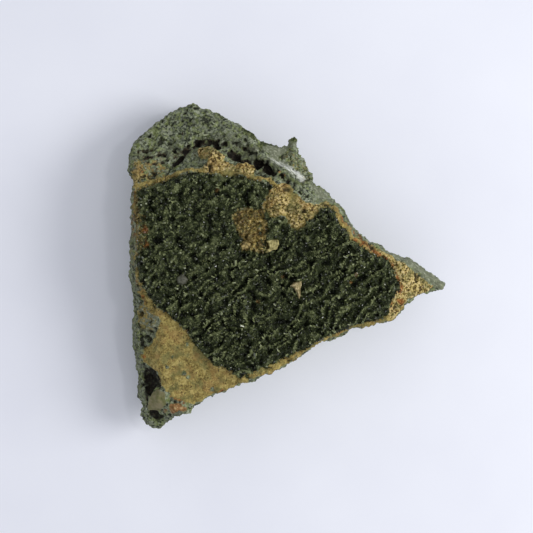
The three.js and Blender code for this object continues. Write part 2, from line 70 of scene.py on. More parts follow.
# Outlines of the regions seen from above, drawn one by one.
DRUSE = [
    (-39.2, 19.6), (-35.9, 21.2), (-33.5, 22), (-30.4, 22.8), (-26.3, 24.3), (-23.4, 24.8), (-19.5, 24.3),
    (-15.3, 23.3), (-12.2, 23.8), (-9.1, 22.8), (-4.4, 22), (-3.4, 20.7), (-4.9, 18.1), (-6.2, 15.7),
    (-4.2, 13.1), (-0.3, 13.1), (0.8, 10), (3.1, 9.2), (5.7, 12.4), (8.1, 14.7), (10.4, 15.5), (12.2, 14.7),
    (13.3, 11.8), (15.3, 9.8), (16.4, 6.9), (19.3, 5.6), (22.1, 3.5), (26.3, 1.6), (27.6, -1.7),
    (29.1, -5.3), (26.8, -8.5), (26, -12.1), (21.8, -14.6), (17.2, -16), (14.2, -17.5), (9, -19.5),
    (6.4, -20.7), (2.3, -21.6), (-1, -23.5), (-5.2, -25.6), (-7.8, -26.4), (-10.4, -28.2), (-12.2, -28.5),
    (-15.6, -26.1), (-18.5, -25.4), (-22.6, -21.2), (-26.5, -16.3), (-30.9, -12.4), (-33.5, -10.8),
    (-35.6, -8.2), (-36.7, -5.9), (-38, -3.3), (-39.2, 1.2), (-39.3, 5.1), (-39.3, 9.5), (-39.3, 14.7),
]
OCHRE_FACE = [
    (-32.7, -15.1), (-34.7, -19), (-37.8, -22.9), (-37, -24.8), (-33.9, -27.2), (-32.7, -31.1), (-30.4, -33),
    (-26.5, -35), (-24.5, -36.1), (-21.8, -34.2), (-17.9, -33.4), (-15.2, -32), (-9.6, -30.6), (-11.7, -28.3),
    (-18.7, -24.2), (-22.6, -20.3), (-25.3, -18), (-28.4, -15.2), (-31.6, -13.2),
]
RIM_STRIP = [
    (-39, -6.4), (-37, -6), (-35.4, -8.2), (-33.5, -10.6), (-30.9, -12.2), (-28, -15), (-31.4, -14),
    (-34.2, -12), (-36.8, -9.2),
]
OCHRE_PATCH = [
    (-3.9, 20.9), (-0.3, 21.4), (2.6, 18.6), (4.9, 16.2), (10.1, 16.5), (8.1, 14.7), (4.9, 11.6), (2.6, 9.5),
    (0.5, 11.6), (-0.3, 13.4), (-3.9, 13.4), (-6.2, 15.5), (-4.7, 18.6),
]
BARE_SPOT = [
    (-14, 13.6), (-13, 14.9), (-9.4, 15.6), (-6.4, 14.8), (-5, 12), (-4.6, 9), (-5.2, 6.8), (-5.8, 3.8),
    (-8.8, 3.2), (-11.6, 3.8), (-12, 7), (-13.6, 9.8),
]
CAP_SPOT = [(-11.4, 5.1), (-8.6, 7.4), (-5.5, 6.6), (-2.3, 6.4), (-3.1, 3.8), (-9.6, 3)]
OCHRE_FRAGMENTS = [
    [(-23.4, 30.3), (-20.8, 31.3), (-18.5, 30.3), (-16.4, 28.2), (-16.9, 26.4), (-20, 26.9), (-22.6, 28.2)],
    [(-20, 27.8), (-16.4, 27.4), (-13.4, 25.7), (-10.9, 25.6), (-10, 23.4), (-15.4, 24), (-21.6, 24.5),
     (-21.7, 26.2)],
    [(-13, 26.1), (-10.7, 26.9), (-8.3, 25.6), (-8.6, 23.5), (-12.2, 24.1)],
]
BACK_LEFT_OCHRE = [(-41, 21), (-39.5, 26.5), (-36.5, 28.8), (-30.5, 27.2), (-30.5, 23.6), (-35, 21.6)]
SPUR_OCHRE = [
    (20, 6.1), (23.7, 4.3), (27.3, 2.7), (30.7, 0.7), (34.6, -2.4), (38, -5), (36.7, -6.9), (32, -8.7),
    (29.9, -11.8), (27, -14.6), (25.2, -11), (27.3, -6.1), (26.3, -2.2), (22.6, 2.2),
]
SPUR_SLAB = [
    (22.1, 6.2), (28.1, 4.6), (33.3, 2.6), (37.7, -0.4), (44, -5), (42, -8), (37.4, -5.4), (34.4, -2.2),
    (30.4, 0.8), (26.8, 2.4),
]
LEFT_RUST = [
    (-40.5, 20.5), (-38, 20), (-37.4, 14), (-35.6, 13), (-35.2, 8), (-36.6, 3.4), (-38.6, 3), (-40.6, 8),
]
FRONT_STRIP = [
    (-17, -33), (-12.2, -31.5), (-7, -29.5), (-1.8, -27), (3.4, -24.3), (8.1, -21.8), (14, -19), (20, -17),
    (27, -15.5), (26, -12), (20, -13.6), (14, -15.6), (8, -18), (2.3, -20.6), (-2.9, -23.3), (-9.6, -26.4),
    (-15.3, -27.5),
]
SHOULDER = [(-38.7, -9.8), (-34.1, -9.8), (-33, -12.9), (-33.8, -16.8), (-38.2, -16.8)]
SHOULDER_HOLLOW = [(-38.2, -16.4), (-34.4, -16.8), (-34.9, -19), (-36.6, -20.8), (-37.9, -20)]
MAROON_HOLLOW = [
    (-37.8, -25.4), (-34.3, -27.2), (-32.9, -31), (-35.4, -32.4), (-36.4, -36.8), (-37.9, -37.2), (-38, -30),
]
TOE_HOLLOW = [(-35.8, -38), (-33.4, -37.6), (-32.3, -39.1), (-33.5, -40.4), (-35.6, -40)]
PEBBLE_FACE = [
    (-36.4, -36.8), (-35.9, -33.7), (-33.8, -31.6), (-31.5, -32.6), (-31.2, -35.8), (-33, -37.6),
    (-35.6, -37.8),
]
PINK_FACET = [(-30.6, -35.2), (-27, -35.4), (-25.2, -36.3), (-25.5, -37.6), (-30, -37.9)]
TOE = [
    (-39.5, -38.4), (-35.6, -40.3), (-32.5, -39.8), (-28.9, -37.6), (-27, -38.1), (-30.9, -42), (-34.1, -44),
    (-39, -43),
]
BLOCK = [
    (-44, 21.6), (-39, 21.4), (-30.4, 23.4), (-24, 25.4), (-15, 24.6), (-4.4, 22.6), (-1.5, 25.6), (-9, 31.5),
    (-14, 40), (-24, 48), (-46, 36),
]
FLANK = [
    (-9.6, 30.3), (-6.5, 30.3), (-1.8, 26.1), (2.9, 22.5), (7.5, 18.3), (13.8, 15.7), (16.9, 11.6),
    (22.1, 7.4), (27.3, 3.2), (34, 0.6), (44, -5), (42, 6), (20, 24), (4, 31.4), (0, 33),
]
FLANK_LEDGE = [(-1.8, 28.2), (1.3, 31.3), (4.6, 28.7), (7.6, 21.6), (4.9, 20.4), (1.3, 25.1)]
MOSSY_KNOBS = [
    [(-9, 30.4), (-5.6, 33.8), (-2.4, 34.4), (-1.2, 38.6), (2.6, 38.2), (3.4, 33.6), (2.4, 31.2), (-1, 32.4),
     (-3.4, 30.8), (-6.6, 29.6)],
    [(-12.4, 35.6), (-10.4, 36.6), (-7.4, 34), (-8.6, 32.2)],
    [(-20.6, 42.4), (-18.8, 42.4), (-16, 39.4), (-17.4, 38.4)],
]
PITTED_BAND = [
    (-38.7, 30.3), (-31.7, 30.8), (-23.9, 32.9), (-16.1, 34.2), (-10.9, 30.3), (-6.5, 26.4), (-8.3, 23.8),
    (-14.3, 27.2), (-18.7, 30.3), (-25.2, 29.8), (-33, 26.4), (-36.9, 26.4),
]
BACK_HOLLOW = [(-8.3, 26.1), (-4.9, 27.2), (-1.8, 25.1), (-0.3, 22.7), (-3.9, 22.9), (-7.5, 23.8)]
CRACK_HOLLOWS = [
    [(-36.6, 23.8), (-34.6, 24.9), (-33.2, 24.2), (-35.2, 22.7)],
    [(-29.4, 27.2), (-27.2, 29.3), (-26.2, 28.2), (-28.4, 26.4)],
    [(-22.6, 31.4), (-20.4, 32.4), (-18.8, 30.8), (-20.8, 30.6)],
    [(-12.4, 30.8), (-10.2, 31.4), (-8.6, 29.2), (-10.8, 28.6)],
]

# Lines that stand up from the rock or cut into it.
LEDGE = [
    (-39.8, 20.9), (-36.1, 21.4), (-31.5, 22.8), (-26.3, 24.7), (-23.9, 25.1), (-22.4, 24.7), (-19.5, 24.8),
    (-15.3, 23.6), (-12.5, 24.3), (-9.4, 23.1), (-4.4, 22.3), (-3, 20.8),
]
GAP = [(-7.2, 26.4), (-4.4, 25.4), (-1.6, 23.6), (0.6, 21.7), (2.4, 20), (4.8, 18.2)]
CRACK = [(-32.2, 23.2), (-28.9, 26.7), (-26, 29.2), (-23.7, 31.1), (-21.3, 32.6)]
RUST_SEAMS = [
    [(-31.4, -11.6), (-28, -13.6), (-24.4, -17.6), (-21.5, -21)],
    [(13.6, 13.4), (16.7, 9.8), (20.3, 6), (23.6, 3.1), (26.8, 0.9), (27.9, -1.2)],
    [(-39.9, -0.4), (-38.6, -4.8), (-36.7, -9.6)],
    [(1.8, -22.6), (3.4, -21.8), (5.2, -20.8)],
    [(-17.8, -32.8), (-16.8, -32)],
    [(28.4, -8.6), (29.8, -9.4)],
    [(-30.2, -33.8), (-28.4, -34.6), (-26.4, -35.5)],
    [(27.9, -1.6), (29.2, -5), (27.2, -8.2), (26.4, -11.4)],
]
GREY_SPOTS = [(-26.6, -27.6), (-25.6, -28.6), (-19.4, -31.8), (-25.6, -19.8), (-29.5, -23.5), (-31, -26)]
RUST_SPOTS = [
    (-4.6, 19.4), (-31.6, -37.4), (-36.9, -23.4), (-1.8, 24.4), (-0.8, 23.6), (17.7, 6.6), (19.3, 5.8),
    (29.4, -9.2), (-37.4, 24.6), (-37, 8.6),
]
SMOOTH_LUMP = (1.2, 18.8)
PINK_PEAK = (-28.4, -37.8)
VEIN = [(-9.3, 31.1), (-6.5, 29.2), (-3.9, 27.2), (-0.6, 26), (2.2, 24.1), (4.1, 22.5)]
RUST_IN_DRUSE = [(16.4, -4), (17.7, -2.2), (-7.5, -9), (-18, 19.6), (-36.5, 9.4), (-36, 5.5), (-1.2, -2.6)]

# Lumps of other minerals held in the druse: name, outline, height, how far in the edge rounds off, colours.
LUMPS = [
    ("pebble", [(-28.1, -2.4), (-27, -1.9), (-25.9, -2.4), (-25.4, -3.4), (-25.9, -4.5), (-27, -4.9),
                (-28.1, -4.4), (-28.5, -3.4)], 1.2, 1.4, [(62, 62, 50), (84, 84, 70), (106, 108, 94)]),
    ("cream_nub", [(0.6, -5.1), (1.7, -4), (3.7, -3.6), (3.8, -4.6), (3.5, -6.1), (3.5, -7.7), (3.1, -8.8),
                   (2.8, -7.9), (2.3, -6.6), (1.6, -5.6)], 1.8, 0.9,
     [(72, 78, 44), (160, 144, 98), (232, 216, 174)]),
    ("ochre_cap", [(-5.6, 6.5), (-4.4, 7), (-2.3, 6.9), (-2, 5.6), (-2.6, 4.3), (-3.9, 4), (-5.4, 3.3),
                   (-5.7, 3.7), (-4.6, 4.9), (-4.9, 6)], 1.3, 0.3,
     [(70, 64, 34), (152, 142, 86), (206, 194, 136)]),
    ("ochre_chip", [(-11.9, 5.4), (-10.8, 6.5), (-9.4, 6), (-9, 4.9), (-10.4, 4.5), (-11.6, 4.1)], 0.9, 0.3,
     [(70, 60, 30), (148, 128, 74), (192, 174, 118)]),
]

# Colours, as the eye sees them, from 0 to 255.
GREY_GREEN = [(28, 32, 22), (106, 113, 91), (188, 196, 170)]
YELLOW_GREEN = (118, 130, 60)
DARK_GREEN = [(26, 32, 16), (66, 74, 40), (112, 118, 76)]
OCHRE = [(78, 62, 26), (146, 128, 64), (198, 178, 112)]
EVEN_OCHRE = [(96, 80, 38), (154, 137, 76), (196, 178, 110)]
CREAM = (212, 191, 140)
OLIVE = (102, 104, 62)
TAN = (168, 132, 78)
RUST = [(60, 32, 18), (132, 84, 40), (190, 138, 76)]
PALE = [(112, 116, 94), (168, 172, 150)]
WHITE_VEIN = (214, 216, 208)
PEBBLE_GREY = (136, 128, 96)
PINK = (144, 106, 66)
# Dark red-brown, which the rock also takes as painted shade in its hollows, pores and pits.
MAROON_SHADE = [(14, 11, 8), (50, 40, 28), (108, 94, 70)]
BROWN = (66, 48, 26)
# From the near-black of painted shade in the gaps to the ridges' yellow-green, which is partly painted light.
EPIDOTE = [(8, 10, 6), (52, 60, 33), (130, 137, 94)]
FLOOR = [(238, 240, 250), (243, 245, 254)]


def linear(colour):
    """A colour of 0 to 255 as the light it stands for, with full opacity."""
    part = np.asarray(colour, float) / 255
    light = np.where(part <= 0.04045, part / 12.92, ((part + 0.055) / 1.055) ** 2.4)
    return (*light.tolist(), 1.0)


def fade(low, high, value):
    """Runs smoothly from 0 at low to 1 at high."""
    t = np.clip((value - low) / (high - low), 0, 1)
    return t * t * (3 - 2 * t)


def mix(a, b, share):
    return a + (b - a) * share


def hashed(i, j, k, seed):
    """A steady draw from 0 to 1 for each whole-number cell."""
    h = (i * 374761393 + j * 668265263 + k * 1274126177 + seed * 974634777) & 0xFFFFFFFF
    h = ((h ^ (h >> 13)) * 1103515245) & 0xFFFFFFFF
    h = ((h ^ (h >> 15)) * 668265263) & 0xFFFFFFFF
    return (h ^ (h >> 16)) / 4294967295


def noise(points, size, seed):
    """Smooth noise, about -1 to 1, whose bumps are about size across."""
    place = points / size
    cell = np.floor(place).astype(np.int64)
    offset = place - cell
    ease = offset**3 * (offset * (offset * 6 - 15) + 10)
    total = np.zeros(len(points))
    for corner in itertools.product((0, 1), repeat=3):
        i, j, k = (cell + corner).T
        slope = np.stack([hashed(i, j, k, seed + axis) for axis in range(3)], axis=1) * 2 - 1
        weight = np.where(corner, ease, 1 - ease).prod(axis=1)
        total += weight * (slope * (offset - corner)).sum(axis=1)
    return total * 1.5


def rough(points, size, seed):
    """Noise at three sizes, each half the size and height of the one before."""
    return sum(noise(points, size / 2**o, seed + 10 * o) / 2**o for o in range(3))


def grains(points, size, seed):
    """Rounded grains packed together: 1 at a grain's middle and 0 at its edge."""
    place = points / size
    cell = np.floor(place).astype(np.int64)
    nearest = np.full(len(points), np.inf)
    for step in itertools.product((-1, 0, 1), repeat=3):
        i, j, k = (cell + step).T
        middle = np.stack([hashed(i, j, k, seed + axis) for axis in range(3)], axis=1) + cell + step
        nearest = np.minimum(nearest, np.linalg.norm(place - middle, axis=1))
    return np.clip(1 - nearest, 0, 1)


def line_distance(xy, line, closed=False):
    """Distance of each point from a line through some points."""
    ends = zip(line, line[1:] + line[:1]) if closed else zip(line, line[1:])
    least = np.full(len(xy), np.inf)
    for start, end in ends:
        a, d = np.array(start), np.array(end) - np.array(start)
        along = np.clip((xy - a) @ d / (d @ d), 0, 1)
        least = np.minimum(least, np.linalg.norm(xy - a - along[:, None] * d, axis=1))
    return least


def depth_in(xy, outline):
    """Distance of each point from an outline, positive inside it."""
    odd = np.zeros(len(xy), bool)
    for (ax, ay), (bx, by) in zip(outline, outline[1:] + outline[:1]):
        if ay != by:
            crosses = (ay > xy[:, 1]) != (by > xy[:, 1])
            odd ^= crosses & (xy[:, 0] < (bx - ax) * (xy[:, 1] - ay) / (by - ay) + ax)
    return line_distance(xy, outline, closed=True) * np.where(odd, 1, -1)


def region(points, outline, soft=0.8, wobble=0.7):
    """1 inside an outline and 0 outside, with a ragged edge."""
    depth = depth_in(points[:, :2], outline)
    near = np.abs(depth) < soft + 2.5 * wobble
    depth[near] += wobble * rough(points[near], 2.2, 5)
    return fade(-soft, soft, depth)


def any_region(points, outlines, soft, wobble):
    return np.maximum.reduce([region(points, outline, soft, wobble) for outline in outlines])


def line_up(xy, line, wide):
    """1 on a line, falling away to its sides."""
    return np.exp(-((line_distance(xy, line) / wide) ** 2))


def spotted(xy, spots, wide):
    """1 at some places, falling away around them."""
    return np.maximum.reduce([np.exp(-((xy - spot) ** 2).sum(1) / wide**2) for spot in np.array(spots)])


def level(xy):
    """Places on a plane as points, for the noise."""
    return np.column_stack([xy, np.zeros(len(xy))])


def add_piece(name, points, faces, material, nodes, fields=None, smooth=False):
    """Makes a piece from points in millimetres. fields hold a value at each point for the material."""
    mesh = bpy.data.meshes.new(name)
    mesh.from_pydata((points * MM).tolist(), [], faces.tolist())
    for field, values in (fields or {}).items():
        layer = mesh.attributes.new(field, "FLOAT", "POINT")
        layer.data.foreach_set("value", np.asarray(values, np.float32))
    mesh.polygons.foreach_set("use_smooth", np.full(len(mesh.polygons), smooth))
    mesh.materials.append(material)
    mesh.update()
    piece = bpy.data.objects.new(name, mesh)
    bpy.context.scene.collection.objects.link(piece)
    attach(piece, "root")
    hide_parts(*nodes)


class Shader:
    """Builds a material's nodes, one call for each."""

    def __init__(self, name):
        self.material = bpy.data.materials.new(name)
        self.material.use_nodes = True
        self.tree = self.material.node_tree
        self.surface = self.tree.nodes["Principled BSDF"]
        self.place = self.node("ShaderNodeTexCoord").outputs["Object"]

    def node(self, kind, **settings):
        made = self.tree.nodes.new(kind)
        for key, value in settings.items():
            setattr(made, key, value)
        return made

    def join(self, value, socket):
        if isinstance(value, bpy.types.NodeSocket):
            self.tree.links.new(value, socket)
        else:
            socket.default_value = value

    def field(self, name):
        return self.node("ShaderNodeAttribute", attribute_name=name).outputs["Fac"]

    def placed(self, size, stretch=(1, 1, 1), turn=0.0):
        """The place on the object in units of size millimetres, longer along a direction."""
        mapping = self.node("ShaderNodeMapping", vector_type="TEXTURE")
        self.join(self.place, mapping.inputs["Vector"])
        mapping.inputs["Rotation"].default_value = (0, 0, math.radians(turn))
        mapping.inputs["Scale"].default_value = [size * MM * part for part in stretch]
        return mapping.outputs["Vector"]

    def noise(self, size, detail=3.0, stretch=(1, 1, 1), turn=0.0):
        """Noise from 0 to 1 whose bumps are about size millimetres across."""
        made = self.node("ShaderNodeTexNoise")
        self.join(self.placed(size, stretch, turn), made.inputs["Vector"])
        made.inputs["Scale"].default_value = 1
        made.inputs["Detail"].default_value = detail
        made.inputs["Roughness"].default_value = 0.6
        return made.outputs["Fac"]

    def cells(self, size, crumpled=0.35):
        """Grains of about size millimetres: the distance from their middles, and a draw for each."""
        shift = self.node("ShaderNodeTexNoise")
        self.join(self.placed(size), shift.inputs["Vector"])
        shift.inputs["Scale"].default_value = 1
        moved = self.node("ShaderNodeVectorMath", operation="MULTIPLY_ADD")
        self.join(shift.outputs["Color"], moved.inputs[0])
        moved.inputs[1].default_value = (crumpled * 2,) * 3
        self.join(self.placed(size), moved.inputs[2])
        made = self.node("ShaderNodeTexVoronoi")
        self.join(moved.outputs["Vector"], made.inputs["Vector"])
        made.inputs["Scale"].default_value = 1
        parted = self.node("ShaderNodeSeparateColor")
        self.join(made.outputs["Color"], parted.inputs["Color"])
        return made.outputs["Distance"], parted.outputs["Red"]

    def calculated(self, operation, a, b):
        """What an operation makes of two sockets or numbers."""
        made = self.node("ShaderNodeMath", operation=operation)
        self.join(a, made.inputs[0])
        self.join(b, made.inputs[1])
        return made.outputs[0]

    def sum(self, a, b):
        return self.calculated("ADD", a, b)

    def less(self, a, b):
        return self.calculated("SUBTRACT", a, b)

    def times(self, a, b):
        return self.calculated("MULTIPLY", a, b)

    def span(self, value, low, high, to_low=0.0, to_high=1.0):
        """Carries low to high over to another span, smoothly, and stops at its ends."""
        made = self.node("ShaderNodeMapRange", interpolation_type="SMOOTHSTEP")
        self.join(value, made.inputs["Value"])
        made.inputs["From Min"].default_value = low
        made.inputs["From Max"].default_value = high
        made.inputs["To Min"].default_value = to_low
        made.inputs["To Max"].default_value = to_high
        return made.outputs["Result"]

    def ramp(self, value, colours, low=0.3, high=0.7):
        """Runs through some colours as value goes from low to high."""
        made = self.node("ShaderNodeValToRGB")
        self.join(value, made.inputs["Fac"])
        stops = made.color_ramp.elements
        for index, colour in enumerate(colours):
            place = mix(low, high, index / (len(colours) - 1))
            stop = stops[index] if index < 2 else stops.new(place)
            stop.position = place
            stop.color = linear(colour)
        return made.outputs["Color"]

    def blend(self, share, below, above):
        """One colour over another. The node's colours are at 6 and 7, after those of its other kinds."""
        made = self.node("ShaderNodeMix", data_type="RGBA")
        self.join(share, made.inputs["Factor"])
        self.join(below, made.inputs[6])
        self.join(above, made.inputs[7])
        return made.outputs[2]

    def ragged(self, mask, size=0.9, strength=0.9, soft=0.1):
        """Sharpens a mask along an edge broken up by noise."""
        uneven = self.times(self.less(self.noise(size, 4), 0.5), strength)
        return self.span(self.sum(mask, uneven), 0.5 - soft, 0.5 + soft)

    def finish(self, colour, roughness, height=None, deep=0.0):
        """Colour, roughness and, given a height, a bump deep millimetres high."""
        if height is not None:
            bump = self.node("ShaderNodeBump")
            bump.inputs["Strength"].default_value = 1
            bump.inputs["Distance"].default_value = deep * MM
            self.join(height, bump.inputs["Height"])
            self.join(bump.outputs["Normal"], self.surface.inputs["Normal"])
        self.join(colour, self.surface.inputs["Base Color"])
        self.join(roughness, self.surface.inputs["Roughness"])
        return self.material


def rock_material():
    """Granular grey-green rock, with stains and other minerals where the point fields say, and painted shade
    in its hollows, pores and pits.
    """
    s = Shader("rock")
    s.surface.inputs["Specular IOR Level"].default_value = 0.25
    porous = s.field("porous")
    distance, draw = s.cells(0.8, 0.9)
    spread = s.times(s.times(draw, porous), 0.5)
    pore = s.span(s.less(distance, spread), 0.06, -0.1)
    _, tone = s.cells(0.6)

    colour = s.ramp(s.noise(0.55, 5), GREY_GREEN, 0.3, 0.67)
    colour = s.blend(s.span(s.noise(1.1, 5), 0.47, 0.57, 0, 0.6), colour, linear(YELLOW_GREEN))
    colour = s.blend(s.span(tone, 0.84, 0.9, 0, 0.5), colour, linear(PALE[1]))
    colour = s.blend(s.span(tone, 0.2, 0.12, 0, 0.8), colour, linear(GREY_GREEN[0]))
    broad = s.noise(8, 4)
    colour = s.blend(s.span(broad, 0.46, 0.36, 0, 0.4), colour, linear(GREY_GREEN[0]))
    colour = s.blend(s.span(broad, 0.52, 0.64, 0, 0.4), colour, linear(PALE[0]))
    dark_green = s.ramp(s.noise(0.7, 5), DARK_GREEN, 0.34, 0.66)
    colour = s.blend(s.ragged(s.field("mossy"), 0.9, 1.0, 0.2), colour, dark_green)

    streaks = s.noise(0.45, 5, (5, 1, 1), -35)
    pale = s.ramp(s.times(s.sum(streaks, s.noise(0.6, 5)), 0.5), [GREY_GREEN[1], *PALE], 0.36, 0.64)
    colour = s.blend(s.ragged(s.field("pale"), 0.8, 0.9, 0.2), colour, pale)
    white = s.sum(s.times(s.less(streaks, 0.5), 1.6), s.field("vein"))
    colour = s.blend(s.span(white, 0.3, 0.85), colour, linear(WHITE_VEIN))

    even = s.ramp(s.times(s.sum(s.noise(1.5, 6), s.noise(0.45, 3)), 0.5), EVEN_OCHRE, 0.38, 0.62)
    eaten = s.ramp(s.noise(0.62, 5), [BROWN, *OCHRE, CREAM], 0.36, 0.59)
    ochre = s.blend(s.span(porous, 0.2, 0.8), even, eaten)
    pinhole, _ = s.cells(0.8, 0.9)
    pinholes = s.times(s.span(pinhole, 0.36, 0.22), s.span(s.noise(4.5, 3), 0.4, 0.58, 0, 0.85))
    ochre = s.blend(pinholes, ochre, linear(BROWN))
    ochre = s.blend(s.span(s.noise(3.2, 5), 0.48, 0.6, 0, 0.6), ochre, linear(OLIVE))
    ochre = s.blend(s.span(s.noise(4.6, 5), 0.52, 0.64, 0, 0.4), ochre, linear(TAN))
    colour = s.blend(s.ragged(s.field("ochre"), 1.0, 1.3, 0.1), colour, ochre)

    smooth_grey = s.ramp(s.noise(1.6, 4), [OLIVE, PEBBLE_GREY], 0.35, 0.6)
    colour = s.blend(s.ragged(s.field("pebble"), 0.8, 0.4, 0.12), colour, smooth_grey)
    pink = s.ramp(s.noise(0.9, 5), [OCHRE[0], PINK, CREAM], 0.28, 0.76)
    colour = s.blend(s.ragged(s.field("pink"), 0.8, 1.0, 0.2), colour, pink)
    rust = s.ramp(s.noise(0.7, 4), RUST, 0.34, 0.66)
    colour = s.blend(s.ragged(s.field("rust"), 0.9, 1.1, 0.2), colour, rust)
    # Painted shade: the hollows, cracks, holes, the pitted band and the gap by the ledge are painted
    # near-black red-brown, besides being sunk in the relief.
    dark = s.ramp(s.noise(0.45, 5), MAROON_SHADE, 0.36, 0.66)
    colour = s.blend(s.ragged(s.field("hollow_shade"), 0.8, 1.4, 0.2), colour, dark)
    # The pores are painted dark: their own brown, and painted shade in them, which the shallow bump can't
    # give.
    pore_colour_and_shade = s.ramp(draw, [MAROON_SHADE[0], MAROON_SHADE[1], BROWN], 0.3, 1)
    colour = s.blend(s.times(pore, 0.8), colour, pore_colour_and_shade)
    # Near-black painted shade in the pits, in the deepest places of the relief and on the left wall, which
    # faces away from the light; the toe is darkened too.
    colour = s.blend(s.span(s.field("pit_shade"), 0.1, 0.9, 0, 0.8), colour, linear(MAROON_SHADE[0]))

    height = s.less(s.sum(s.noise(0.4, 5), s.noise(1.4, 3)), pore)
    roughness = s.span(s.noise(0.5, 2), 0.3, 0.7, 0.95, 0.6)
    return s.finish(colour, roughness, height, 0.25)


def druse_material(name, smoothest, shine, bumpy):
    """Dark green epidote; the field lit runs from nearly black, painted shade in the gaps, to the
    yellow-green of the ridges, partly their dust and partly painted light.
    """
    s = Shader(name)
    s.surface.inputs["IOR"].default_value = EPIDOTE_IOR
    s.surface.inputs["Specular IOR Level"].default_value = shine
    colour = s.ramp(s.field("lit"), EPIDOTE, 0, 1)
    ochre = s.ramp(s.noise(0.6, 5), [BROWN, *OCHRE, CREAM], 0.34, 0.66)
    ochre = s.blend(s.span(s.noise(2.2, 4), 0.44, 0.56, 0, 0.6), ochre, linear(BROWN))
    colour = s.blend(s.ragged(s.field("ochre"), 0.9, 1.4, 0.2), colour, ochre)
    colour = s.blend(s.ragged(s.field("rust"), 0.8, 0.8, 0.2), colour, s.ramp(s.noise(0.7, 4), RUST))
    roughness = s.span(s.noise(0.5, 2), 0.35, 0.65, smoothest + 0.2, smoothest)
    return s.finish(colour, roughness, s.noise(0.22, 3) if bumpy else None, 0.08)


def mineral_material(name, colours):
    """A plain mineral in a few shades of one colour."""
    s = Shader(name)
    grain = 0.7
    colour = s.ramp(s.noise(grain, 4), colours, 0.3, 0.7)
    roughness = s.span(s.noise(grain * 0.6, 2), 0.3, 0.7, 0.72, 0.5)
    return s.finish(colour, roughness, s.noise(grain * 0.5, 4), 0.1)


def fine_copy(node, spacing, smoothing):
    """A copy of a node's mesh with evenly spaced points: points, normals and four-cornered faces, in mm."""
    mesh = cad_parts[node].data.copy()
    mesh.transform(Matrix.Scale(1 / MM, 4))
    copy = bpy.data.objects.new("copy", mesh)
    bpy.context.scene.collection.objects.link(copy)
    remesh = copy.modifiers.new("remesh", "REMESH")
    remesh.mode = "VOXEL"
    remesh.voxel_size = spacing
    soften = copy.modifiers.new("soften", "SMOOTH")
    soften.iterations = smoothing
    shape = copy.evaluated_get(bpy.context.evaluated_depsgraph_get()).to_mesh()
    points = np.empty(len(shape.vertices) * 3)
    shape.vertices.foreach_get("co", points)
    normals = np.empty(len(shape.vertices) * 3)
    shape.vertex_normals.foreach_get("vector", normals)
    faces = np.array([face.vertices[:] for face in shape.polygons])
    bpy.data.objects.remove(copy)
    return points.reshape(-1, 3), normals.reshape(-1, 3), faces


def evened(points, faces, share, times):
    """Points drawn towards the mean of their neighbours, as far as share says for each."""
    ends = np.concatenate([faces[:, [corner, (corner + 1) % 4]] for corner in range(4)])
    count = np.bincount(ends[:, 0], minlength=len(points))[:, None]
    for _ in range(times):
        sums = [np.bincount(ends[:, 0], points[ends[:, 1], axis], len(points)) for axis in range(3)]
        points = mix(points, np.stack(sums, axis=1) / count, 0.5 * share[:, None])
    return points


def seat_under(xs, ys):
    """The height of the rock's upper face over a grid of places, evened out a little.

    The frame's own mesh is in metres, so the rays are too, and start well above the rock.
    """
    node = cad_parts["rock_matrix"]
    corners = [vertex.co[:] for vertex in node.data.vertices]
    tree = BVHTree.FromPolygons(corners, [face.vertices[:] for face in node.data.polygons])
    high = 0.1
    heights = np.zeros((len(ys), len(xs)))
    for row, y in enumerate(ys):
        for column, x in enumerate(xs):
            hit = tree.ray_cast(Vector((x * MM, y * MM, high)), Vector((0, 0, -1)))[0]
            heights[row, column] = hit.z / MM if hit else 0
    for _ in range(3):
        padded = np.pad(heights, 1, mode="edge")
        heights = (padded[:-2, 1:-1] + padded[2:, 1:-1] + padded[1:-1, :-2] + padded[1:-1, 2:] + heights) / 5
    return heights


